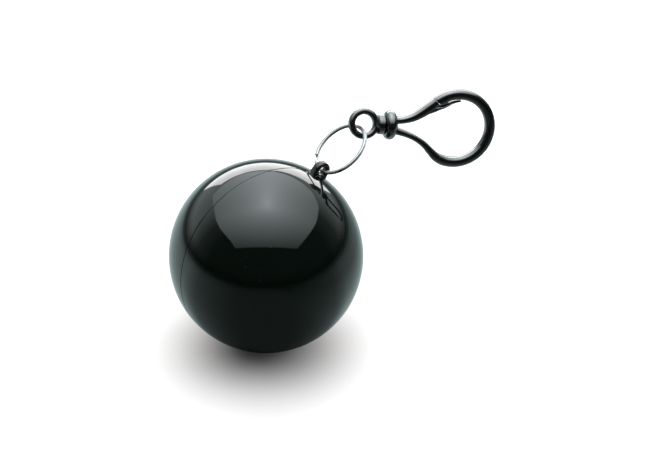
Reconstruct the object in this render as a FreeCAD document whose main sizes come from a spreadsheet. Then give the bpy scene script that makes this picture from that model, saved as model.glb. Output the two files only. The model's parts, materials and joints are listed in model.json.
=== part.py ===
import FreeCAD, Part
import math
import os
import Sketcher
from FreeCAD import Vector

# Capsule ball on a split ring with a swivel snap hook.  Millimetres, +Z up.
# The ball touches the floor at the origin; its two shells part along Y.

doc = FreeCAD.newDocument("capsule_ball")
sheet = doc.addObject("Spreadsheet::Sheet", "dims")

DIMS = {
    # ball
    "ball_r": 32.5, "cavity_r": 30.6, "seam_half": 0.06,
    "spigot_r": 30.35, "spigot_bore": 29.2, "spigot_reach": 2.4,
    "spigot_foot": 4.6, "spigot_blend": 6.0,
    # eyelet lug on the seam, leaning from +Z towards +X
    "lug_lean": 39.5, "lug_reach": 34.15, "lug_r": 3.0, "lug_hole_r": 1.55,
    "lug_thick": 2.8, "lug_root": 30.9, "notch_half": 3.15, "notch_deep": 1.55,
    "notch_low": 30.2, "notch_high": 35.0,
    # split ring: two flat coils joined by a crank
    "ring_r": 9.6, "wire_flat": 0.56, "wire_deep": 1.2, "coil_space": 0.06,
    "ring_turn": 1.65, "ring_rise": 35.74, "ring_roll": -7.08,
    "crank_at": 143.0, "crank_span": 22.0,
    "ring_x": 29.587, "ring_y": 0.215, "ring_z": 64.398,
    # swivel eye
    "eye_out_r": 5.15, "eye_hole_r": 3.15, "eye_thick": 2.8, "eye_round": 0.6,
    "hub_r": 3.35, "hub_start": 4.1, "hub_end": 6.92,
    "stem_r": 1.6, "stem_head_r": 2.3, "head_start": 9.2, "head_end": 10.3,
    "eye_x": 39.093, "eye_y": 0.679, "eye_z": 70.809,
    "hook_yaw": -22.12, "hook_pitch": 9.057, "hook_roll": 78.213, "eye_roll": 61.2,
    # hook
    "collar_start": 7.05, "collar_end": 10.75, "collar_r": 4.95, "collar_round": 1.8,
    "bore_r": 1.68, "bore_mouth": 6.5, "chamber_r": 2.4, "chamber_start": 9.1,
    "chamber_end": 10.45, "loop_x": 32.1, "loop_r": 13.6, "loop_hole_r": 10.15,
    "hook_thick": 3.8, "pivot_x": 13.1, "pivot_y": 1.85, "knuckle_r": 1.3,
    "socket_r": 1.4, "hook_round": 0.75, "tip_round": 0.25,
}
for row, (alias, number) in enumerate(DIMS.items(), start=1):
    sheet.set(f"A{row}", alias)
    sheet.set(f"B{row}", str(number))
    sheet.setAlias(f"B{row}", alias)
doc.recompute()

TURN = "placement(vector(0; 0; 0); rotation(vector(0; 0; 1); {}))"
BALL = "placement(vector(0; 0; dims.ball_r); rotation(0; 0; 0))"
RING = ("placement(vector(dims.ring_x; dims.ring_y; dims.ring_z); "
        "rotation(dims.ring_turn; -dims.ring_rise; dims.ring_roll))")
EYE = ("placement(vector(dims.eye_x; dims.eye_y; dims.eye_z); "
       "rotation(dims.hook_yaw; dims.hook_pitch; dims.eye_roll))")
HOOK = ("placement(vector(dims.eye_x; dims.eye_y; dims.eye_z); "
        "rotation(dims.hook_yaw; dims.hook_pitch; dims.hook_roll))")


def size(spec):
    """A plain number, or a named dimension with an optional minus sign."""
    if not isinstance(spec, str):
        return spec
    return -DIMS[spec[1:]] if spec.startswith("-") else DIMS[spec]


def bound(spec):
    return "-dims." + spec[1:] if spec.startswith("-") else "dims." + spec


def done(obj):
    doc.recompute()
    faults = [s for s in obj.State if s in ("Invalid", "Error")]
    if faults or obj.Shape.isNull() or not obj.Shape.isValid():
        raise RuntimeError(f"{obj.Label} did not build: {obj.State}")
    return obj


def solid(kind, name, placement=None, **values):
    """A primitive or boolean; dimension names are bound to the sheet."""
    obj = doc.addObject("Part::" + kind, name)
    for key, value in values.items():
        if isinstance(value, str):
            obj.setExpression(key, bound(value))
        else:
            setattr(obj, key, value)
    if placement:
        obj.setExpression("Placement", placement)
    return done(obj)


def new_body(name, placement):
    body = doc.addObject("PartDesign::Body", name)
    body.setExpression("Placement", placement)
    return body


def sketch_on(body, role, turn=None):
    plane = [f for f in body.Origin.OriginFeatures if f.Role == role][0]
    sk = body.newObject("Sketcher::SketchObject", body.Name + "_sketch")
    sk.AttachmentSupport = [(plane, "")]
    sk.MapMode = "FlatFace"
    if turn:
        sk.setExpression("AttachmentOffset", TURN.format(turn))
    return sk


def line(p, q):
    return Part.LineSegment(Vector(size(p[0]), size(p[1]), 0), Vector(size(q[0]), size(q[1]), 0))


def arc(centre, radius, start, end):
    """Counter-clockwise arc between two angles in degrees."""
    middle = Vector(size(centre[0]), size(centre[1]), 0)
    circle = Part.Circle(middle, Vector(0, 0, 1), size(radius))
    return Part.ArcOfCircle(circle, math.radians(start), math.radians(end))


def curve(points, start, end):
    """A smooth curve through points that leaves and arrives along two directions."""
    flow = Part.BSplineCurve()
    vectors = [Vector(x, y, 0) for x, y in points]
    flow.interpolate(Points=vectors, InitialTangent=Vector(*start, 0), FinalTangent=Vector(*end, 0))
    return flow


def drive(sk, kind, spec, *where):
    """One dimension of a sketch, taken from the sheet."""
    n = sk.addConstraint(Sketcher.Constraint(kind, *where, size(spec)))
    sk.setExpression(f"Constraints[{n}]", bound(spec))


def place_point(sk, geo, pos, x, y):
    for kind, axis, spec in (("DistanceX", -2, x), ("DistanceY", -1, y)):
        if spec == 0:
            sk.addConstraint(Sketcher.Constraint("PointOnObject", geo, pos, axis))
        elif isinstance(spec, str):
            drive(sk, kind, spec, -1, 1, geo, pos)


def polygon(sk, points):
    """A closed outline of straight lines whose corners are named dimensions."""
    ids = [sk.addGeometry(line(p, q), False) for p, q in zip(points, points[1:] + points[:1])]
    for i, j in zip(ids, ids[1:] + ids[:1]):
        sk.addConstraint(Sketcher.Constraint("Coincident", i, 2, j, 1))
    for i, (x, y) in zip(ids, points):
        place_point(sk, i, 1, x, y)


def turned(body, kind, sk, axis):
    """A Revolution or Groove about one of the sketch's axes."""
    feature = body.newObject("PartDesign::" + kind, f"{body.Name}_{kind.lower()}")
    feature.Profile = sk
    feature.ReferenceAxis = (sk, [axis])
    feature.Angle = 360.0
    return done(feature)


def pushed(body, kind, sk, length, side="Symmetric", **values):
    """A Pad or Pocket of a named length."""
    feature = body.newObject("PartDesign::" + kind, f"{body.Name}_{kind.lower()}")
    feature.Profile = sk
    feature.SideType = side
    feature.setExpression("Length", bound(length))
    for key, value in values.items():
        setattr(feature, key, value)
    return done(feature)


def rounded(body, picked, radius):
    """Fillet the edges of the body's tip that the test picks."""
    tip = body.Tip
    names = [f"Edge{n}" for n, e in enumerate(tip.Shape.Edges, start=1) if picked(e)]
    fillet = body.newObject("PartDesign::Fillet", body.Name + "_fillet")
    fillet.Base = (tip, names)
    fillet.setExpression("Radius", bound(radius))
    return done(fillet)


def shell_profile(sk, side):
    """Half of a hollow ball, cut by its diameter, with the rim at the seam.

    side is +1 for the shell with the spigot and -1 for the plain one."""
    d = DIMS
    gap = math.degrees(math.asin(d["seam_half"] / d["ball_r"]))
    outer = arc((0, 0), "ball_r", *((gap, 90) if side > 0 else (-90, -gap)))
    if side > 0:
        lean = math.degrees(math.asin(d["spigot_blend"] / d["cavity_r"]))
        inner = arc((0, 0), "cavity_r", lean, 90)
        corner = (d["cavity_r"] * math.cos(math.radians(lean)), d["spigot_blend"])
        rim = [corner, ("spigot_bore", "spigot_foot"), ("spigot_bore", "-spigot_reach"),
               ("spigot_r", "-spigot_reach"), ("spigot_r", "seam_half")]
    else:
        lean = math.degrees(math.asin(d["seam_half"] / d["cavity_r"]))
        inner = arc((0, 0), "cavity_r", -90, -lean)
        rim = [(d["cavity_r"] * math.cos(math.radians(lean)), -d["seam_half"])]
    start = (d["ball_r"] * math.cos(math.radians(gap)), side * d["seam_half"])
    chain = rim + [start]
    a = sk.addGeometry(outer, False)
    b = sk.addGeometry(inner, False)
    pole = sk.addGeometry(line((0, side * d["ball_r"]), (0, side * d["cavity_r"])), False)
    walls = [sk.addGeometry(line(p, q), False) for p, q in zip(chain, chain[1:])]
    far, near = (2, 1) if side > 0 else (1, 2)
    joins = [(a, far, pole, 1), (pole, 2, b, far), (b, near, walls[0], 1), (walls[-1], 2, a, near)]
    joins += [(i, 2, j, 1) for i, j in zip(walls, walls[1:])]
    for join in joins:
        sk.addConstraint(Sketcher.Constraint("Coincident", *join))
    for geo, radius in ((a, "ball_r"), (b, "cavity_r")):
        sk.addConstraint(Sketcher.Constraint("Coincident", geo, 3, -1, 1))
        drive(sk, "Radius", radius, geo)
    for geo, (x, y) in zip(walls[1:], chain[1:]):
        place_point(sk, geo, 1, x, y)


def make_shell_back():
    body = new_body("shell_back", BALL)
    sk = sketch_on(body, "XY_Plane")
    shell_profile(sk, +1)
    turned(body, "Revolution", sk, "V_Axis")
    lug = sketch_on(body, "XZ_Plane", "-dims.lug_lean")
    top = lug.addGeometry(arc((0, "lug_reach"), "lug_r", 0, 180), False)
    left = lug.addGeometry(line(("-lug_r", "lug_reach"), ("-lug_r", "lug_root")), False)
    foot = lug.addGeometry(line(("-lug_r", "lug_root"), ("lug_r", "lug_root")), False)
    right = lug.addGeometry(line(("lug_r", "lug_root"), ("lug_r", "lug_reach")), False)
    for join in ((top, 2, left, 1), (left, 2, foot, 1), (foot, 2, right, 1), (right, 2, top, 1)):
        lug.addConstraint(Sketcher.Constraint("Coincident", *join))
    place_point(lug, left, 2, "-lug_r", "lug_root")
    place_point(lug, right, 1, "lug_r", "lug_root")
    place_point(lug, top, 3, 0, "lug_reach")
    drive(lug, "Radius", "lug_r", top)
    hole = lug.addGeometry(Part.Circle(Vector(0, size("lug_reach"), 0), Vector(0, 0, 1),
                                       size("lug_hole_r")), False)
    place_point(lug, hole, 3, 0, "lug_reach")
    drive(lug, "Radius", "lug_hole_r", hole)
    pushed(body, "Pad", lug, "lug_thick")
    return body


def make_shell_front():
    body = new_body("shell_front", BALL)
    sk = sketch_on(body, "XY_Plane")
    shell_profile(sk, -1)
    shell = turned(body, "Revolution", sk, "V_Axis")
    notch = sketch_on(body, "XZ_Plane", "-dims.lug_lean")
    polygon(notch, [("-notch_half", "notch_low"), ("notch_half", "notch_low"),
                    ("notch_half", "notch_high"), ("-notch_half", "notch_high")])
    cut = pushed(body, "Pocket", notch, "notch_deep", side="One side", Reversed=True)
    if cut.Shape.Volume > shell.Shape.Volume - 1.0:
        raise RuntimeError("the notch went the wrong way")
    return body


def make_split_ring():
    """Two flat coils, each open at the crank, and the ramp that joins them."""
    d = DIMS
    sweep = 360.0 - d["crank_span"]
    tall = "placement(vector(0; 0; {}); rotation(vector(0; 0; 1); dims.crank_at + dims.crank_span / 2))"
    pieces = []
    for name, level in (("low", "-dims.wire_flat - dims.coil_space / 2"),
                        ("high", "dims.coil_space / 2")):
        outer = solid("Cylinder", "coil_" + name, tall.format(level), Height="wire_flat")
        outer.setExpression("Radius", "dims.ring_r + dims.wire_deep / 2")
        outer.Angle = sweep
        inner = solid("Cylinder", "bore_" + name, tall.format(level), Height="wire_flat")
        inner.setExpression("Radius", "dims.ring_r - dims.wire_deep / 2")
        pieces.append(solid("Cut", "turn_" + name, Base=outer, Tool=inner))
    spot = ("placement(vector(0; 0; 0); rotation(vector(0; 0; 1); dims.crank_at {} dims.crank_span / 2))"
            " * placement(vector(dims.ring_r - dims.wire_deep / 2; 0; {}); rotation(vector(1; 0; 0); 90))")
    ends = [solid("Plane", "crank_low", spot.format("-", "-dims.wire_flat - dims.coil_space / 2"),
                  Length="wire_deep", Width="wire_flat"),
            solid("Plane", "crank_high", spot.format("+", "dims.coil_space / 2"),
                  Length="wire_deep", Width="wire_flat")]
    pieces.append(solid("Loft", "crank", Sections=ends, Solid=True, Ruled=True))
    return solid("MultiFuse", "split_ring", RING, Shapes=pieces)


def make_swivel_eye():
    """Round eye, hub and headed stem; X is the hook's long axis."""
    loop = new_body("eye_loop", "placement(vector(0; 0; 0); rotation(0; 0; 0))")
    rim = sketch_on(loop, "XY_Plane")
    for radius in ("eye_out_r", "eye_hole_r"):
        edge = rim.addGeometry(Part.Circle(Vector(0, 0, 0), Vector(0, 0, 1), size(radius)), False)
        place_point(rim, edge, 3, 0, 0)
        drive(rim, "Radius", radius, edge)
    pushed(loop, "Pad", rim, "eye_thick")
    rounded(loop, lambda e: e.Curve.TypeId == "Part::GeomCircle", "eye_round")
    shank = new_body("eye_shank", "placement(vector(0; 0; 0); rotation(0; 0; 0))")
    sk = sketch_on(shank, "XY_Plane")
    polygon(sk, [("hub_start", 0), ("hub_start", "hub_r"), ("hub_end", "hub_r"),
                 ("hub_end", "stem_r"), ("head_start", "stem_r"),
                 ("head_start", "stem_head_r"), ("head_end", "stem_head_r"), ("head_end", 0)])
    turned(shank, "Revolution", sk, "H_Axis")
    wide = size("hub_r") - 0.01
    rounded(shank, lambda e: e.BoundBox.YMax > wide, "tip_round")
    return solid("Fuse", "swivel_eye", EYE, Base=loop, Tool=shank)


def on_circle(radius, angle):
    turn = math.radians(angle)
    return (size("loop_x") + size(radius) * math.cos(turn), size(radius) * math.sin(turn))


def along_circle(angle):
    turn = math.radians(angle)
    return (-math.sin(turn), math.cos(turn))


def make_hook_body():
    """Collar, fixed arm, loop and nose in one piece; X is the long axis."""
    body = new_body("hook_body", HOOK)
    rim = sketch_on(body, "XY_Plane")
    polygon(rim, [("collar_start", 0), ("collar_start", "collar_r"),
                  ("collar_end", "collar_r"), ("collar_end", 0)])
    turned(body, "Revolution", rim, "H_Axis")
    edge = size("collar_r") - 0.01
    rounded(body, lambda e: e.BoundBox.YMax > edge and e.BoundBox.YMin < -edge, "collar_round")

    centre = (size("loop_x"), 0)
    pivot = (size("pivot_x"), size("pivot_y"))
    foot = (8.5, -3.0)
    lip_top, lip_low = 118, 242
    lip = [(pivot[0] + size("socket_r") * math.cos(math.radians(a)),
            pivot[1] + size("socket_r") * math.sin(math.radians(a))) for a in (lip_top, lip_low)]
    nose_angle = 132.6
    outer_from, inner_from, inner_to = 249, 232, 91
    nose = on_circle("loop_r", nose_angle)
    throat = (25.35, 8.1)
    crotch = (12.05, 0.1)
    outline = [
        curve([foot, (11.2, -3.15), (15.0, -3.95), (17.85, -4.95), (20.75, -6.75),
               (23.2, -9.2), (25.4, -11.35), on_circle("loop_r", outer_from)],
              (1, -0.05), along_circle(outer_from)),
        arc(centre, "loop_r", outer_from - 360, nose_angle),
        line(nose, throat),
        curve([throat, (26.5, 8.08), (27.6, 8.7), (28.8, 9.5), (30.0, 10.0),
               on_circle("loop_hole_r", inner_to)], (1, -0.1), (1, 0)),
        arc(centre, "loop_hole_r", inner_from - 360, inner_to),
        curve([on_circle("loop_hole_r", inner_from), (23.4, -6.15), (20.4, -3.95),
               (16.2, -2.15), (12.9, -0.95), crotch], (-0.79, 0.62), (0.1, 1)),
        line(crotch, lip[1]),
        arc(pivot, "socket_r", lip_top, lip_low),
        line(lip[0], (8.5, 2.9)),
        line((8.5, 2.9), foot),
    ]
    sk = sketch_on(body, "XY_Plane")
    ids = [sk.addGeometry(c, False) for c in outline]
    for geo, radius in ((1, "loop_r"), (4, "loop_hole_r"), (7, "socket_r")):
        drive(sk, "Radius", radius, ids[geo])
    pushed(body, "Pad", sk, "hook_thick")

    half = size("hook_thick") / 2

    def long_edge(e):
        box = e.BoundBox
        flat = box.ZLength < 0.01 and abs(abs(box.ZMax) - half) < 0.01
        return flat and e.Length > 12

    rounded(body, long_edge, "hook_round")

    bore = sketch_on(body, "XY_Plane")
    polygon(bore, [("bore_mouth", 0), ("bore_mouth", "bore_r"), ("chamber_start", "bore_r"),
                   ("chamber_start", "chamber_r"), ("chamber_end", "chamber_r"),
                   ("chamber_end", 0)])
    before = body.Tip.Shape.Volume
    cut = turned(body, "Groove", bore, "H_Axis")
    if cut.Shape.Volume > before - 1.0:
        raise RuntimeError("the bore did not cut")
    return body


def make_hook_gate():
    """Springy arm with a round root and a thin tongue under the nose."""
    body = new_body("hook_gate", HOOK)
    pivot = (size("pivot_x"), size("pivot_y"))
    root_top, root_low = 105, 288
    root = [(pivot[0] + size("knuckle_r") * math.cos(math.radians(a)),
             pivot[1] + size("knuckle_r") * math.sin(math.radians(a))) for a in (root_top, root_low)]
    shoulder, step = (22.55, 9.3), (25.0, 7.75)
    tip_top, tip_low = (32.3, 9.9), (32.4, 9.65)
    outline = [
        arc(pivot, "knuckle_r", root_top, root_low),
        curve([root[1], (15.75, 1.3), (19.55, 2.75), (23.3, 5.0), (27.05, 7.2), (30.3, 9.0), tip_low],
              (0.95, 0.31), (0.92, 0.3)),
        line(tip_low, tip_top),
        curve([tip_top, (30.1, 9.72), (28.95, 9.25), (27.75, 8.45), (26.6, 7.83), step],
              (-1, -0.02), (-1, 0.05)),
        line(step, shoulder),
        curve([shoulder, (21.1, 7.75), (19.15, 6.15), (16.7, 4.6), (14.2, 3.48), root[0]],
              (-0.66, -0.75), (-0.97, -0.26)),
    ]
    sk = sketch_on(body, "XY_Plane")
    ids = [sk.addGeometry(c, False) for c in outline]
    drive(sk, "Radius", "knuckle_r", ids[0])
    pushed(body, "Pad", sk, "hook_thick")
    return body


parts = [make_shell_back(), make_shell_front(), make_split_ring(), make_swivel_eye(),
         make_hook_body(), make_hook_gate()]
doc.recompute()
os.makedirs("parts", exist_ok=True)
for part in parts:
    done(part)
    part.Shape.exportStep(f"parts/{part.Label}.step")
    box = part.Shape.BoundBox
    print(part.Label, len(part.Shape.Solids), round(part.Shape.Volume, 1),
          [round(v, 2) for v in (box.XMin, box.YMin, box.ZMin, box.XMax, box.YMax, box.ZMax)])
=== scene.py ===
import json
import math

import bmesh
import bpy
from mathutils import Matrix, Vector


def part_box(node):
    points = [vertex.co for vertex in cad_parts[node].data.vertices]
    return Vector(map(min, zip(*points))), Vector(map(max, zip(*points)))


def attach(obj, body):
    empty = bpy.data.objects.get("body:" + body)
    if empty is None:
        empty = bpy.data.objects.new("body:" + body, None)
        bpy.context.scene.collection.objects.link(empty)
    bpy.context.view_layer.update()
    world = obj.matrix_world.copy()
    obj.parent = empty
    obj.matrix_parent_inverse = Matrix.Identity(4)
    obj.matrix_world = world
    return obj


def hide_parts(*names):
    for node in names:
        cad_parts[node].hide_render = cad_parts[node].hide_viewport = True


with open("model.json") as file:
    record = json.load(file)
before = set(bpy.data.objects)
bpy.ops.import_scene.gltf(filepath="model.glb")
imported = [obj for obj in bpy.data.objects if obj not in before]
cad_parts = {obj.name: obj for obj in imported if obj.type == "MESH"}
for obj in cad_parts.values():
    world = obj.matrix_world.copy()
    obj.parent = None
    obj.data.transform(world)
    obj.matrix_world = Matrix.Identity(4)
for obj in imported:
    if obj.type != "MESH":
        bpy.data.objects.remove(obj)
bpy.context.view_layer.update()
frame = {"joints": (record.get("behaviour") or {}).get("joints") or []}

MM = 0.001
joints = {j["name"]: j for j in frame["joints"]}
floor_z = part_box("shell_back")[0].z
ball_r = (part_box("shell_back")[1].z - floor_z) / 2
ball_centre = Vector((0, 0, floor_z + ball_r))


# ---------------------------------------------------------------- places

def axes_at(origin, x_axis, z_axis):
    """A place whose X and Z run along two given directions, in millimetres."""
    x = Vector(x_axis).normalized()
    z = Vector(z_axis)
    z = (z - z.dot(x) * x).normalized()
    y = z.cross(x)
    turn = Matrix((x, y, z)).transposed().to_4x4()
    return Matrix.Translation(Vector(origin)) @ turn @ Matrix.Scale(MM, 4)


hook_place = axes_at(joints["hook_swivel"]["pos_m"], joints["hook_swivel"]["axis"],
                     joints["gate_flex"]["axis"])
ring_near = Vector(joints["ring_swing"]["pos_m"])
ring_far = Vector(joints["eye_swing"]["pos_m"])
ring_place = axes_at((ring_near + ring_far) / 2, ring_far - ring_near,
                     (ring_far - ring_near).cross(Vector(joints["ring_swing"]["axis"])))
ring_r = (ring_far - ring_near).length / 2 / MM
ball_place = Matrix.Translation(ball_centre) @ Matrix.Scale(MM, 4)


# ---------------------------------------------------------------- shaping

def finish_piece(bm, name, place, body, material, node=None, sharp=35):
    """Turn a bmesh in millimetres into a finished piece that rides on a body."""
    bmesh.ops.remove_doubles(bm, verts=bm.verts, dist=0.0005)
    bmesh.ops.recalc_face_normals(bm, faces=bm.faces)
    bmesh.ops.transform(bm, matrix=place, verts=bm.verts)
    for face in bm.faces:
        face.smooth = True
    limit = math.radians(sharp)
    for edge in bm.edges:
        edge.smooth = not (edge.is_manifold and edge.calc_face_angle(0) > limit)
    mesh = bpy.data.meshes.new(name)
    bm.to_mesh(mesh)
    bm.free()
    piece = bpy.data.objects.new(name, mesh)
    bpy.context.scene.collection.objects.link(piece)
    mesh.materials.append(material)
    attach(piece, body)
    if node:
        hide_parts(node)
    return piece


def section(bm, corners, segments=24):
    """A round-cornered unit section in the YZ plane: 1 is round, 0 is square."""
    ring = bmesh.ops.create_circle(bm, segments=segments, radius=1.0)["verts"]
    power = 0.45 + 0.55 * corners
    for v in ring:
        y = math.copysign(abs(v.co.x) ** power, v.co.x)
        z = math.copysign(abs(v.co.y) ** power, v.co.y)
        v.co = Vector((0, y, z))
    return ring


def station(x, y, heading, width, depth, z=0.0, pitch=0.0):
    """Where a section stands: centre, heading in degrees, full width and depth."""
    turn = Matrix.Rotation(math.radians(heading), 4, "Z")
    climb = Matrix.Rotation(-math.radians(pitch), 4, "Y")
    size = Matrix.Diagonal((1, width / 2, depth / 2, 1))
    return Matrix.Translation((x, y, z)) @ turn @ climb @ size


def bar(bm, stations, corners=0.6, segments=24, caps=True):
    """Draw a section through its stations and cap both ends."""
    ring = section(bm, corners, segments)
    edges = list({e for v in ring for e in v.link_edges})
    here = stations[0]
    bmesh.ops.transform(bm, matrix=here, verts=ring)
    first = list(edges)
    for there in stations[1:]:
        new = bmesh.ops.extrude_edge_only(bm, edges=edges)["geom"]
        ring = [g for g in new if isinstance(g, bmesh.types.BMVert)]
        edges = [g for g in new if isinstance(g, bmesh.types.BMEdge)]
        bmesh.ops.transform(bm, matrix=there @ here.inverted(), verts=ring)
        here = there
    ends = []
    if caps:
        for loop in (first, edges):
            ends += bmesh.ops.contextual_create(bm, geom=loop)["faces"]
    return ends


def soften(bm, edges, width, segments=3):
    bmesh.ops.bevel(bm, geom=edges, offset=width, offset_type="OFFSET", affect="EDGES",
                    segments=segments, profile=0.5, material=-1, clamp_overlap=True)


def lathe(bm, outline, axis, steps=96):
    """Spin an outline of (along, out) points all the way round an axis."""
    along = Vector(axis)
    out = Vector((0, 0, 1)) if abs(along.z) < 0.5 else Vector((1, 0, 0))
    verts = [bm.verts.new(along * a + out * r) for a, r in outline]
    edges = [bm.edges.new(pair) for pair in zip(verts, verts[1:])]
    bmesh.ops.spin(bm, geom=verts + edges, cent=(0, 0, 0), axis=along, angle=math.tau,
                   steps=steps, use_merge=True)


def arc_points(centre, radius, start, end, count):
    """Points of an arc, angles in degrees from the outline's first axis."""
    turns = [math.radians(start + (end - start) * i / (count - 1)) for i in range(count)]
    return [(centre[0] + radius * math.cos(t), centre[1] + radius * math.sin(t)) for t in turns]


def smooth_path(points, per_span=6):
    """Catmull-Rom through rows of numbers, for stations between the named ones."""
    rows = [points[0]] + list(points) + [points[-1]]
    out = []
    for a, b, c, d in zip(rows, rows[1:], rows[2:], rows[3:]):
        for i in range(per_span):
            t = i / per_span
            out.append([0.5 * (2 * q + (r - p) * t + (2 * p - 5 * q + 4 * r - s) * t * t
                               + (3 * q - p - 3 * r + s) * t ** 3)
                        for p, q, r, s in zip(a, b, c, d)])
    return out + [list(points[-1])]


# ---------------------------------------------------------------- materials

def new_group(name, inputs, outputs):
    group = bpy.data.node_groups.new(name, "ShaderNodeTree")
    for label, kind, value in inputs:
        socket = group.interface.new_socket(label, in_out="INPUT", socket_type="NodeSocket" + kind)
        if value is not None:
            socket.default_value = value
    for label, kind in outputs:
        group.interface.new_socket(label, in_out="OUTPUT", socket_type="NodeSocket" + kind)
    return group, group.nodes.new("NodeGroupInput"), group.nodes.new("NodeGroupOutput")


def math_node(tree, operation, a, b=None, clamp=False):
    node = tree.nodes.new("ShaderNodeMath")
    node.operation = operation
    node.use_clamp = clamp
    for socket, value in zip(node.inputs, (a, b)):
        if isinstance(value, (int, float)):
            socket.default_value = value
        elif value is not None:
            tree.links.new(value, socket)
    return node.outputs[0]


def range_node(tree, value, low, high, to_low, to_high):
    node = tree.nodes.new("ShaderNodeMapRange")
    tree.links.new(value, node.inputs["Value"])
    for label, number in (("From Min", low), ("From Max", high),
                          ("To Min", to_low), ("To Max", to_high)):
        if isinstance(number, (int, float)):
            node.inputs[label].default_value = number
        else:
            tree.links.new(number, node.inputs[label])
    return node.outputs[0]


def noise(tree, vector, scale, detail=3.0, rough=0.5, distort=0.0):
    node = tree.nodes.new("ShaderNodeTexNoise")
    tree.links.new(vector, node.inputs["Vector"])
    node.inputs["Scale"].default_value = scale
    node.inputs["Detail"].default_value = detail
    node.inputs["Roughness"].default_value = rough
    node.inputs["Distortion"].default_value = distort
    return node.outputs[0]


def stretch(tree, vector, scale, turn=(0, 0, 0)):
    node = tree.nodes.new("ShaderNodeMapping")
    tree.links.new(vector, node.inputs["Vector"])
    node.inputs["Scale"].default_value = scale
    node.inputs["Rotation"].default_value = turn
    return node.outputs[0]


def handling_marks():
    """Faint hairline scratches, finger smudges and specks of dust."""
    group, source, sink = new_group(
        "handling_marks", [("Place", "Vector", None), ("Amount", "Float", 1.0)],
        [("Scratch", "Float"), ("Smudge", "Float"), ("Dust", "Float")])
    place = source.outputs["Place"]
    lines = None
    for scale, turn in (((900, 14, 60), (0.3, 0.2, 0.9)), ((16, 1100, 80), (0.8, 0.1, 0.4)),
                        ((70, 18, 1000), (0.2, 0.9, 0.1))):
        streak = range_node(group, noise(group, stretch(group, place, scale, turn), 1.0, 2.0),
                            0.70, 0.76, 0.0, 1.0)
        lines = streak if lines is None else math_node(group, "MAXIMUM", lines, streak)
    patch = range_node(group, noise(group, place, 45, 2.0), 0.5, 0.7, 0.0, 1.0)
    scratch = math_node(group, "MULTIPLY", math_node(group, "MULTIPLY", lines, patch),
                        source.outputs["Amount"])
    cloud = range_node(group, noise(group, place, 70, 5.0, 0.6, 0.8), 0.35, 0.75, 0.0, 1.0)
    smudge = math_node(group, "MULTIPLY", cloud, source.outputs["Amount"])
    specks = group.nodes.new("ShaderNodeTexVoronoi")
    group.links.new(place, specks.inputs["Vector"])
    specks.inputs["Scale"].default_value = 420
    near = range_node(group, specks.outputs["Distance"], 0.05, 0.09, 1.0, 0.0)
    thin = range_node(group, noise(group, place, 300, 0.0), 0.62, 0.66, 0.0, 1.0)
    dust = math_node(group, "MULTIPLY", math_node(group, "MULTIPLY", near, thin),
                     source.outputs["Amount"])
    for label, value in (("Scratch", scratch), ("Smudge", smudge), ("Dust", dust)):
        group.links.new(value, sink.inputs[label])
    return group


def mould_skin():
    """Height of a moulded surface: slow sink and ripple, and a fine grain."""
    group, source, sink = new_group(
        "mould_skin",
        [("Place", "Vector", None), ("Ripple", "Float", 1.0), ("Grain", "Float", 1.0)],
        [("Height", "Float")])
    place = source.outputs["Place"]
    slow = math_node(group, "MULTIPLY", noise(group, place, 28, 1.0), source.outputs["Ripple"])
    fine = math_node(group, "MULTIPLY", noise(group, place, 2600, 2.0), source.outputs["Grain"])
    group.links.new(math_node(group, "ADD", slow, fine), sink.inputs["Height"])
    return group


MARKS = handling_marks()
SKIN = mould_skin()


def start_material(name):
    mat = bpy.data.materials.new(name)
    mat.use_nodes = True
    tree = mat.node_tree
    shader = tree.nodes["Principled BSDF"]
    place = tree.nodes.new("ShaderNodeTexCoord").outputs["Object"]
    return mat, tree, shader, place


def use_group(tree, group, place, **values):
    node = tree.nodes.new("ShaderNodeGroup")
    node.node_tree = group
    tree.links.new(place, node.inputs["Place"])
    for label, value in values.items():
        node.inputs[label].default_value = value
    return node


def mix_colour(tree, factor, a, b):
    node = tree.nodes.new("ShaderNodeMix")
    node.data_type = "RGBA"
    tree.links.new(factor, node.inputs["Factor"])
    node.inputs["A"].default_value = (*a, 1)
    node.inputs["B"].default_value = (*b, 1)
    return node.outputs["Result"]


DUST_COLOUR = (0.08, 0.08, 0.08)
STEEL_DARK, STEEL_LIGHT = (0.27, 0.27, 0.27), (0.42, 0.42, 0.42)
STEEL_DULLED = (0.35, 0.35, 0.345)


def moulded_plastic(name, colour, rough, marks, grain, bump, index):
    """Black moulded plastic: ripple and grain in the skin, smudges, dust and scratches."""
    mat, tree, shader, place = start_material(name)
    worn = use_group(tree, MARKS, place, Amount=marks)
    skin = use_group(tree, SKIN, place, Ripple=1.0, Grain=grain)
    tone = mix_colour(tree, worn.outputs["Dust"], colour, DUST_COLOUR)
    tree.links.new(tone, shader.inputs["Base Color"])
    low, high = rough
    base = range_node(tree, worn.outputs["Smudge"], 0.0, 1.0, low, high)
    scuff = math_node(tree, "MULTIPLY", worn.outputs["Scratch"], 0.12)
    dull = math_node(tree, "MULTIPLY", worn.outputs["Dust"], 0.4)
    dulled = math_node(tree, "ADD", math_node(tree, "ADD", base, scuff), dull, clamp=True)
    tree.links.new(dulled, shader.inputs["Roughness"])
    height = math_node(tree, "SUBTRACT", skin.outputs["Height"],
                       math_node(tree, "MULTIPLY", worn.outputs["Scratch"], 0.04))
    lift = tree.nodes.new("ShaderNodeBump")
    lift.inputs["Strength"].default_value = 1.0
    lift.inputs["Distance"].default_value = bump
    tree.links.new(height, lift.inputs["Height"])
    tree.links.new(lift.outputs["Normal"], shader.inputs["Normal"])
    shader.inputs["IOR"].default_value = index
    return mat


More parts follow.
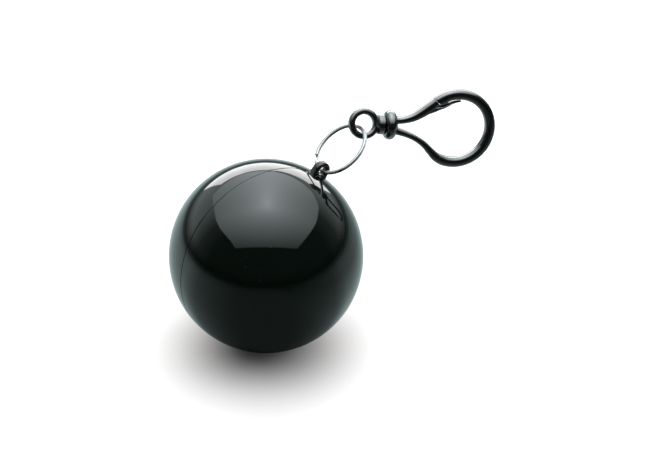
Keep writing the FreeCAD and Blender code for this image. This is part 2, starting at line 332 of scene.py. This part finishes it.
def plated_steel(name):
    """Bright plated spring wire: drawn streaks and dulled patches."""
    mat, tree, shader, place = start_material(name)
    worn = use_group(tree, MARKS, place, Amount=1.0)
    streaks = noise(tree, stretch(tree, place, (260, 900, 2600)), 1.0, 3.0)
    tone = range_node(tree, streaks, 0.3, 0.7, 0.0, 1.0)
    shade = tree.nodes.new("ShaderNodeMix")
    shade.data_type = "RGBA"
    tree.links.new(worn.outputs["Smudge"], shade.inputs["Factor"])
    tree.links.new(mix_colour(tree, tone, STEEL_DARK, STEEL_LIGHT), shade.inputs["A"])
    shade.inputs["B"].default_value = (*STEEL_DULLED, 1)
    tree.links.new(shade.outputs["Result"], shader.inputs["Base Color"])
    rough = range_node(tree, worn.outputs["Smudge"], 0.0, 1.0, 0.24, 0.34)
    tree.links.new(math_node(tree, "ADD", rough, math_node(tree, "MULTIPLY", tone, 0.06)),
                   shader.inputs["Roughness"])
    shader.inputs["Metallic"].default_value = 1.0
    lift = tree.nodes.new("ShaderNodeBump")
    lift.inputs["Strength"].default_value = 0.6
    lift.inputs["Distance"].default_value = 0.00002
    tree.links.new(tone, lift.inputs["Height"])
    tree.links.new(lift.outputs["Normal"], shader.inputs["Normal"])
    return mat


ball_black = moulded_plastic("ball_plastic", colour=(0.0010, 0.0024, 0.0015), rough=(0.035, 0.075),
                             marks=0.5, grain=0.004, bump=0.0000012, index=1.5)
hook_black = moulded_plastic("hook_plastic", colour=(0.0008, 0.0013, 0.0011), rough=(0.12, 0.20),
                             marks=0.8, grain=0.12, bump=0.000008, index=2.1)
ring_steel = plated_steel("ring_steel")


# ---------------------------------------------------------------- the ball

WALL_R, SPIGOT_R, SPIGOT_BORE, SEAM_HALF = 30.6, 30.35, 29.2, 0.06
OUTER_R = ball_r / MM
LUG_LEAN = 39.5
NOTCH_SIZE, NOTCH_OUT = (6.75, 4.8, 3.1), 32.6
LUG_HOLE_R, LUG_R, LUG_THICK, LUG_REACH, LUG_ROOT = 1.55, 3.0, 2.8, 34.15, 31.0
LUG_FLARE, SHARP_TURN = 0.10, 1.2


def shell_outline(side):
    """Cut through one shell, from the outer pole round the rim to the inner pole."""
    lip = 0.16
    rim = math.degrees(math.asin((SEAM_HALF + lip) / OUTER_R))
    outer = [(side * y, x) for x, y in arc_points((0, 0), OUTER_R, 90, rim, 72)]
    outer[0] = (side * OUTER_R, 0)
    lip_at = (OUTER_R - lip, SEAM_HALF + lip)
    outer += [(side * y, x) for x, y in arc_points(lip_at, lip, -10, -90, 5)]
    if side > 0:
        rim = [(SEAM_HALF, SPIGOT_R), (-2.1, SPIGOT_R), (-2.4, SPIGOT_R - 0.3),
               (-2.4, SPIGOT_BORE + 0.2), (-2.2, SPIGOT_BORE), (4.6, SPIGOT_BORE)]
        turn = math.degrees(math.asin(6.0 / WALL_R))
    else:
        rim = []
        turn = math.degrees(math.asin(SEAM_HALF / WALL_R))
    inner = [(side * y, x) for x, y in arc_points((0, 0), WALL_R, turn, 90, 48)]
    inner[-1] = (side * WALL_R, 0)
    return outer + rim + inner


def cut_away(piece, cutter):
    """Take a closed cutter out of a piece and throw the cutter away."""
    tool = piece.modifiers.new("notch", "BOOLEAN")
    tool.operation = "DIFFERENCE"
    tool.solver = "EXACT"
    tool.object = cutter
    view = bpy.context.evaluated_depsgraph_get()
    mesh = bpy.data.meshes.new_from_object(piece.evaluated_get(view))
    piece.modifiers.remove(tool)
    piece.data = mesh
    bpy.data.objects.remove(cutter)


def make_shells(lug_place):
    """Both half shells, with the notch that clears the lug cut in the front one."""
    bm = bmesh.new()
    lathe(bm, shell_outline(+1), (0, 1, 0), 192)
    finish_piece(bm, "back_shell_moulding", ball_place, "back_shell", ball_black,
                 "shell_back")
    bm = bmesh.new()
    lathe(bm, shell_outline(-1), (0, 1, 0), 192)
    front = finish_piece(bm, "front_shell_moulding", ball_place, "front_shell", ball_black,
                         "shell_front")
    bm = bmesh.new()
    bmesh.ops.create_cube(bm, size=1.0)
    bmesh.ops.scale(bm, vec=NOTCH_SIZE, verts=bm.verts)
    bmesh.ops.translate(bm, vec=(0, NOTCH_OUT, 0), verts=bm.verts)
    bmesh.ops.transform(bm, matrix=lug_place, verts=bm.verts)
    mesh = bpy.data.meshes.new("notch_cutter")
    bm.to_mesh(mesh)
    bm.free()
    cutter = bpy.data.objects.new("notch_cutter", mesh)
    bpy.context.scene.collection.objects.link(cutter)
    cut_away(front, cutter)


def make_lug(lug_place):
    """Ring-shaped eyelet whose flanks flare into the ball."""
    bm = bmesh.new()
    ring = bmesh.ops.create_circle(bm, segments=72, radius=LUG_HOLE_R)["verts"]
    edges = list({e for v in ring for e in v.link_edges})
    new = bmesh.ops.extrude_edge_only(bm, edges=edges)["geom"]
    for v in (g for g in new if isinstance(g, bmesh.types.BMVert)):
        out = v.co.normalized()
        if out.y < 0:
            flare = 1 + LUG_FLARE * min(1, -out.y * 1.3) ** 2
            across = LUG_R * flare / max(abs(out.x), 1e-6)
            out *= min(across, (LUG_REACH - LUG_ROOT) / -out.y)
        else:
            out *= LUG_R
        v.co = out
    near_side = list(bm.faces)
    for v in bm.verts:
        v.co += Vector((0, LUG_REACH, -LUG_THICK / 2))
    far_side = bmesh.ops.extrude_face_region(bm, geom=near_side)["geom"]
    bmesh.ops.translate(bm, vec=(0, 0, LUG_THICK),
                        verts=[g for g in far_side if isinstance(g, bmesh.types.BMVert)])
    bmesh.ops.recalc_face_normals(bm, faces=bm.faces)

    def sharp(edge):
        return edge.is_valid and edge.is_manifold and edge.calc_face_angle(0) > SHARP_TURN

    def at_hole(edge):
        return all((v.co.xy - Vector((0, LUG_REACH))).length < LUG_HOLE_R + 0.01
                   for v in edge.verts)

    soften(bm, [e for e in bm.edges if sharp(e) and not at_hole(e)
                and max(v.co.y for v in e.verts) > LUG_ROOT + 0.3], 0.75, 5)
    soften(bm, [e for e in bm.edges if sharp(e) and at_hole(e)], 0.35, 3)
    finish_piece(bm, "eyelet_lug", lug_place, "back_shell", ball_black)


def make_ball():
    lean = math.radians(LUG_LEAN)
    out = Vector((math.sin(lean), 0, math.cos(lean)))
    lug_place = axes_at(ball_centre, out.cross(Vector((0, 1, 0))), Vector((0, 1, 0)))
    make_shells(lug_place)
    make_lug(lug_place)


# ---------------------------------------------------------------- the split ring

def make_split_ring():
    """One flat-sided wire, wound twice, stepping across at the crank."""
    flat, deep, pitch = 0.56, 1.2, 0.62
    crank, span = 143.0, 22.0
    first, turn = crank - span / 2, 360.0 - span
    stations = []
    for level, start in ((-pitch / 2, first - turn), (pitch / 2, first + span)):
        for i in range(97):
            angle = start + turn * i / 96
            t = math.radians(angle)
            stations.append(station(ring_r * math.cos(t), ring_r * math.sin(t), angle + 90,
                                    deep, flat, z=level))
        if level < 0:
            for i in range(1, 12):
                s = i / 12
                angle = first + span * s
                rise = -math.cos(math.pi * s)
                t = math.radians(angle)
                stations.append(station(ring_r * math.cos(t), ring_r * math.sin(t), angle + 90,
                                        deep, flat, z=rise * pitch / 2,
                                        pitch=12 * math.sin(math.pi * s)))
    bm = bmesh.new()
    ends = bar(bm, stations, corners=0.65, segments=24)
    soften(bm, list({e for f in ends for e in f.edges}), 0.08, 2)
    finish_piece(bm, "split_ring_wire", ring_place, "ring", ring_steel, "split_ring",
                 sharp=50)


# ---------------------------------------------------------------- the snap hook

eye_place = hook_place @ Matrix.Rotation(math.radians(-17.013), 4, "X")


def make_swivel_eye():
    """Round eye, square-shouldered hub and headed stem."""
    bm = bmesh.new()
    eye_r, wide, thick = 4.15, 2.14, 3.3
    turns = [station(eye_r * math.cos(a), eye_r * math.sin(a), math.degrees(a) + 90, wide, thick)
             for a in (math.tau * i / 72 for i in range(73))]
    bar(bm, turns, corners=0.45, segments=28, caps=False)
    hub = [(3.9, 0), (3.9, 1.9), (4.15, 2.5), (4.6, 2.95)]
    hub += arc_points((5.1, 2.95), 0.4, 150, 90, 4)
    hub += arc_points((6.55, 2.98), 0.37, 90, 0, 5)
    hub += [(6.92, 1.6), (9.2, 1.6), (9.2, 2.3), (9.9, 2.3), (10.3, 1.7), (10.3, 0)]
    lathe(bm, hub, (1, 0, 0), 64)
    finish_piece(bm, "swivel_eye_moulding", eye_place, "eye", hook_black, "swivel_eye")


HOOK_CORNERS = 0.5


def make_hook_body():
    """Bead-shaped collar with a bore, fixed arm, loop and nose."""
    bm = bmesh.new()
    bead = [(10.45, 0), (10.45, 2.4), (9.1, 2.4), (9.1, 1.68), (7.05, 1.68), (7.05, 3.1)]
    bead += arc_points((8.83, 3.17), 1.78, 180, 96, 12)
    bead += arc_points((8.97, 3.17), 1.78, 84, 0, 12)
    bead += [(10.9, 3.0), (11.15, 2.6), (11.2, 0)]
    lathe(bm, bead, (1, 0, 0), 96)
    loop_x, loop_mid, wide, thick = 32.1, 11.875, 3.45, 3.8
    arm = [[10.6, -1.8, -4, 2.9, 3.7], [12.0, -2.0, -8, 2.5, 3.5], [15.5, -3.0, -18, 2.15, 3.35],
           [18.5, -4.25, -27, 2.05, 3.3], [21.4, -6.0, -38, 2.25, 3.4], [24.0, -8.3, -43, 2.6, 3.6],
           [26.0, -10.1, -38, 3.05, 3.75], [28.0, -11.12, -20.5, 3.4, thick]]
    rows = smooth_path(arm, 5)
    arc = [(250 + 220 * i / 55, loop_mid, wide) for i in range(1, 56)]
    arc += [(473.5, 11.80, 3.58), (476.5, 11.67, 3.84), (479.5, 11.61, 3.96),
            (483.5, 11.62, 3.94), (487.5, 11.68, 3.8)]
    for angle, mid, width in arc:
        t = math.radians(angle)
        rows.append([loop_x + mid * math.cos(t), mid * math.sin(t), angle + 90 - 720, width, thick])
    rows.append([24.13, 9.05, -127.8, 3.1, thick - 0.1])
    ends = bar(bm, [station(*row) for row in rows], corners=HOOK_CORNERS, segments=32)
    soften(bm, list(ends[-1].edges), 0.22, 3)
    stub = [[10.6, 1.75, 4, 2.6, 3.7], [11.2, 1.75, 4, 2.5, 3.5], [11.75, 1.8, 4, 2.4, 3.45]]
    bar(bm, [station(*row) for row in stub], corners=HOOK_CORNERS, segments=32)
    finish_piece(bm, "hook_moulding", hook_place, "hook", hook_black, "hook_body")


def make_hook_gate():
    """Springy arm that widens to a shoulder, with a thin tongue under the nose."""
    bm = bmesh.new()
    arm = [[11.5, 1.75, 4, 2.3, 3.35], [13.1, 2.0, 10, 2.4, 3.4], [15.0, 2.5, 17, 2.6, 3.45],
           [17.2, 3.4, 27, 2.9, 3.5], [19.6, 4.95, 36, 3.25, 3.6], [21.9, 6.7, 39, 3.6, 3.7],
           [23.1, 7.85, 46, 3.35, 3.75], [24.08, 8.98, 52.2, 3.0, 3.7]]
    ends = bar(bm, [station(*row) for row in smooth_path(arm, 5)], corners=HOOK_CORNERS,
               segments=32)
    soften(bm, list(ends[-1].edges), 0.2, 3)
    tongue = [[21.8, 5.6, 34, 2.0, 3.4], [23.6, 6.35, 32, 1.9, 3.45], [25.1, 6.95, 29, 1.45, 3.45],
              [26.5, 7.3, 28, 1.0, 3.45], [27.7, 7.95, 30, 0.85, 3.4], [29.1, 8.85, 27, 0.8, 3.4],
              [30.3, 9.35, 14, 0.62, 3.3], [31.4, 9.6, 10, 0.5, 3.2], [32.3, 9.75, 6, 0.3, 3.0]]
    ends = bar(bm, [station(*row) for row in smooth_path(tongue, 4)], corners=0.4, segments=28)
    soften(bm, list(ends[-1].edges), 0.08, 2)
    finish_piece(bm, "hook_spring_arm", hook_place, "gate", hook_black, "hook_gate")


make_ball()
make_split_ring()
make_swivel_eye()
make_hook_body()
make_hook_gate()


# ---------------------------------------------------------------- studio

VIEW_TURN, VIEW_TILT = math.radians(-32.7), math.radians(33.0)
RIGHT = Vector((math.cos(VIEW_TURN), math.sin(VIEW_TURN), 0))
TOWARD = Vector((math.sin(VIEW_TURN), -math.cos(VIEW_TURN), 0))
BACK = TOWARD * math.cos(VIEW_TILT) + Vector((0, 0, math.sin(VIEW_TILT)))
UP = BACK.cross(RIGHT)


def camera():
    data = bpy.data.cameras.new("camera")
    data.lens = 100.24
    data.sensor_width = 36
    data.clip_end = 50
    cam = bpy.data.objects.new("camera", data)
    bpy.context.scene.collection.objects.link(cam)
    aim = ball_centre + RIGHT * 0.01880 + UP * 0.00775
    turn = Matrix((RIGHT, UP, BACK)).transposed().to_4x4()
    cam.matrix_world = Matrix.Translation(aim + BACK * 0.6) @ turn
    bpy.context.scene.camera = cam


def studio_sheet(name, corners, material, seen=True):
    """A flat staged sheet through corners given as (right, toward, up) in metres."""
    mesh = bpy.data.meshes.new(name)
    bm = bmesh.new()
    verts = [bm.verts.new(RIGHT * x + TOWARD * y + Vector((0, 0, z))) for x, y, z in corners]
    bm.faces.new(verts)
    bm.to_mesh(mesh)
    bm.free()
    mesh.materials.append(material)
    sheet = bpy.data.objects.new(name, mesh)
    bpy.context.scene.collection.objects.link(sheet)
    sheet.visible_camera = seen
    return sheet


def along(tree, vector, way):
    node = tree.nodes.new("ShaderNodeVectorMath")
    node.operation = "DOT_PRODUCT"
    tree.links.new(vector, node.inputs[0])
    node.inputs[1].default_value = way
    return node.outputs["Value"]


def paper_floor():
    """Matt paper, evenly bright to the camera; for glossy rays its colour is a painted reflection
    shade, darkest in front of the ball.
    """
    mat, tree, shader, place = start_material("floor_paper")
    fibre = noise(tree, place, 900, 3.0)
    tone = mix_colour(tree, fibre, (0.70, 0.64, 0.627), (0.73, 0.665, 0.652))
    unit = tree.nodes.new("ShaderNodeVectorMath")
    unit.operation = "NORMALIZE"
    tree.links.new(place, unit.inputs[0])
    facing = along(tree, unit.outputs[0], TOWARD)
    # Painted reflection shade: for glossy rays only, the floor's colour is painted dark, darkest in
    # front of the ball, darker further off and to the right.
    painted_gloss_shade = math_node(tree, "ADD", range_node(tree, facing, 0.9, 0.3, 0.078, 0.215),
                     range_node(tree, facing, 0.3, 0.0, 0.0, 0.2))
    across = along(tree, place, RIGHT)
    reach = tree.nodes.new("ShaderNodeVectorMath")
    reach.operation = "LENGTH"
    tree.links.new(place, reach.inputs[0])
    far = range_node(tree, reach.outputs["Value"], 0.2, 0.65, 1.0, 0.25)
    side = range_node(tree, across, 0.04, 0.12, 1.0, 0.55)
    painted_gloss_shade = math_node(tree, "MULTIPLY", math_node(tree, "MULTIPLY", painted_gloss_shade, far), side)
    # The tinted colour of the painted reflection shade, swapped in for glossy rays.
    painted_gloss_colour = tree.nodes.new("ShaderNodeCombineColor")
    for socket, tint in zip(painted_gloss_colour.inputs[:3], (0.87, 1.0, 0.97)):
        tree.links.new(math_node(tree, "MULTIPLY", painted_gloss_shade, tint), socket)
    swap = tree.nodes.new("ShaderNodeMix")
    swap.data_type = "RGBA"
    tree.links.new(tree.nodes.new("ShaderNodeLightPath").outputs["Is Glossy Ray"],
                   swap.inputs["Factor"])
    tree.links.new(tone, swap.inputs["A"])
    tree.links.new(painted_gloss_colour.outputs[0], swap.inputs["B"])
    tree.links.new(swap.outputs["Result"], shader.inputs["Base Color"])
    shader.inputs["Roughness"].default_value = 1.0
    shader.inputs["Specular IOR Level"].default_value = 0.0
    return mat


def lit(name, colour):
    """An emission material and its strength socket."""
    mat = bpy.data.materials.new(name)
    mat.use_nodes = True
    tree = mat.node_tree
    tree.nodes.clear()
    lamp = tree.nodes.new("ShaderNodeEmission")
    lamp.inputs["Color"].default_value = (*colour, 1)
    tree.links.new(lamp.outputs[0], tree.nodes.new("ShaderNodeOutputMaterial").inputs[0])
    return mat, tree, lamp.inputs["Strength"]


def scrim_light(high):
    """A cloth overhead, brightest under its lamp and fading towards the front."""
    mat, tree, strength = lit("scrim_light", (0.91, 1.0, 1.02))
    place = tree.nodes.new("ShaderNodeTexCoord").outputs["Object"]
    x = math_node(tree, "ADD", math_node(tree, "DIVIDE", along(tree, place, RIGHT), high), -0.03)
    y = math_node(tree, "ADD", math_node(tree, "DIVIDE", along(tree, place, TOWARD), high), 0.08)
    near = math_node(tree, "MAXIMUM", y, math_node(tree, "MULTIPLY", y, -0.35))
    square = math_node(tree, "ADD", math_node(tree, "MULTIPLY", x, x),
                       math_node(tree, "MULTIPLY", near, near))
    gap = math_node(tree, "MULTIPLY", math_node(tree, "SQRT", square), 2.0)
    bright = math_node(tree, "DIVIDE", 6.4, math_node(tree, "ADD", gap, 1.0))
    fade = range_node(tree, y, 0.1, 1.15, 1.0, 0.32)
    tree.links.new(math_node(tree, "MULTIPLY", bright, fade), strength)
    return mat


def wall_light():
    """The lit wall behind, a little uneven."""
    mat, tree, strength = lit("wall_light", (1.0, 1.0, 1.0))
    place = tree.nodes.new("ShaderNodeTexCoord").outputs["Object"]
    tree.links.new(range_node(tree, noise(tree, place, 3.0), 0.3, 0.7, 4.9, 5.8), strength)
    return mat


def surroundings():
    """White for the camera; for light and gloss, pale behind, dark in front and low down."""
    world = bpy.data.worlds.new("studio")
    bpy.context.scene.world = world
    world.use_nodes = True
    tree = world.node_tree
    air = tree.nodes["Background"]
    way = tree.nodes.new("ShaderNodeTexCoord").outputs["Generated"]
    shift = range_node(tree, along(tree, way, RIGHT), -0.2, 0.4, 0.0, 0.26)
    front = math_node(tree, "ADD", along(tree, way, TOWARD), shift)
    pale = range_node(tree, front, -0.38, 0.0, 1.0, 0.22)
    deep = range_node(tree, front, 0.0, 0.35, 1.0, 0.2)
    seen = tree.nodes.new("ShaderNodeLightPath").outputs["Is Camera Ray"]
    low = range_node(tree, along(tree, way, (0, 0, 1)), 0.02, 0.16, 0.28, 1.0)
    glow = math_node(tree, "MULTIPLY", math_node(tree, "MULTIPLY", pale, deep), low)
    tree.links.new(math_node(tree, "MAXIMUM", glow, seen), air.inputs["Strength"])
    tree.links.new(mix_colour(tree, seen, (0.88, 1.0, 1.01), (1, 1, 1)), air.inputs["Color"])


def studio():
    high = 1.2
    scrim = [(-0.98, 1.06), (1.12, 1.06), (1.2, 0.65), (1.3, 0.25), (1.38, -0.1), (1.36, -0.8),
             (1.1, -1.3), (0.55, -1.62), (0.0, -1.85), (-0.7, -1.9), (-1.5, -1.5), (-1.28, -0.6),
             (-1.26, -0.1), (-1.2, 0.2), (-1.08, 0.5), (-1.0, 0.75)]
    studio_sheet("overhead_scrim", [(x * high, y * high, high + ball_centre.z) for x, y in scrim],
                 scrim_light(high), seen=False)
    studio_sheet("back_wall", [(-0.95, -1.5, 0.17), (0.95, -1.5, 0.17), (0.95, -1.5, 0.78),
                               (-0.95, -1.5, 0.78)], wall_light(), seen=False)
    mat, _, strength = lit("fill_light", (0.91, 1.0, 1.02))
    strength.default_value = 3.0
    panel = studio_sheet("fill_panel", [(1.35, 0.5, 0.2), (1.35, -1.0, 0.2), (1.35, -1.0, 1.1),
                                        (1.35, 0.5, 1.1)], mat, seen=False)
    panel.visible_glossy = False
    studio_sheet("floor", [(-6, 6, floor_z), (6, 6, floor_z), (6, -6, floor_z), (-6, -6, floor_z)],
                 paper_floor())


camera()
studio()
surroundings()
bpy.context.scene.view_settings.view_transform = "Standard"
bpy.context.scene.view_settings.look = "None"
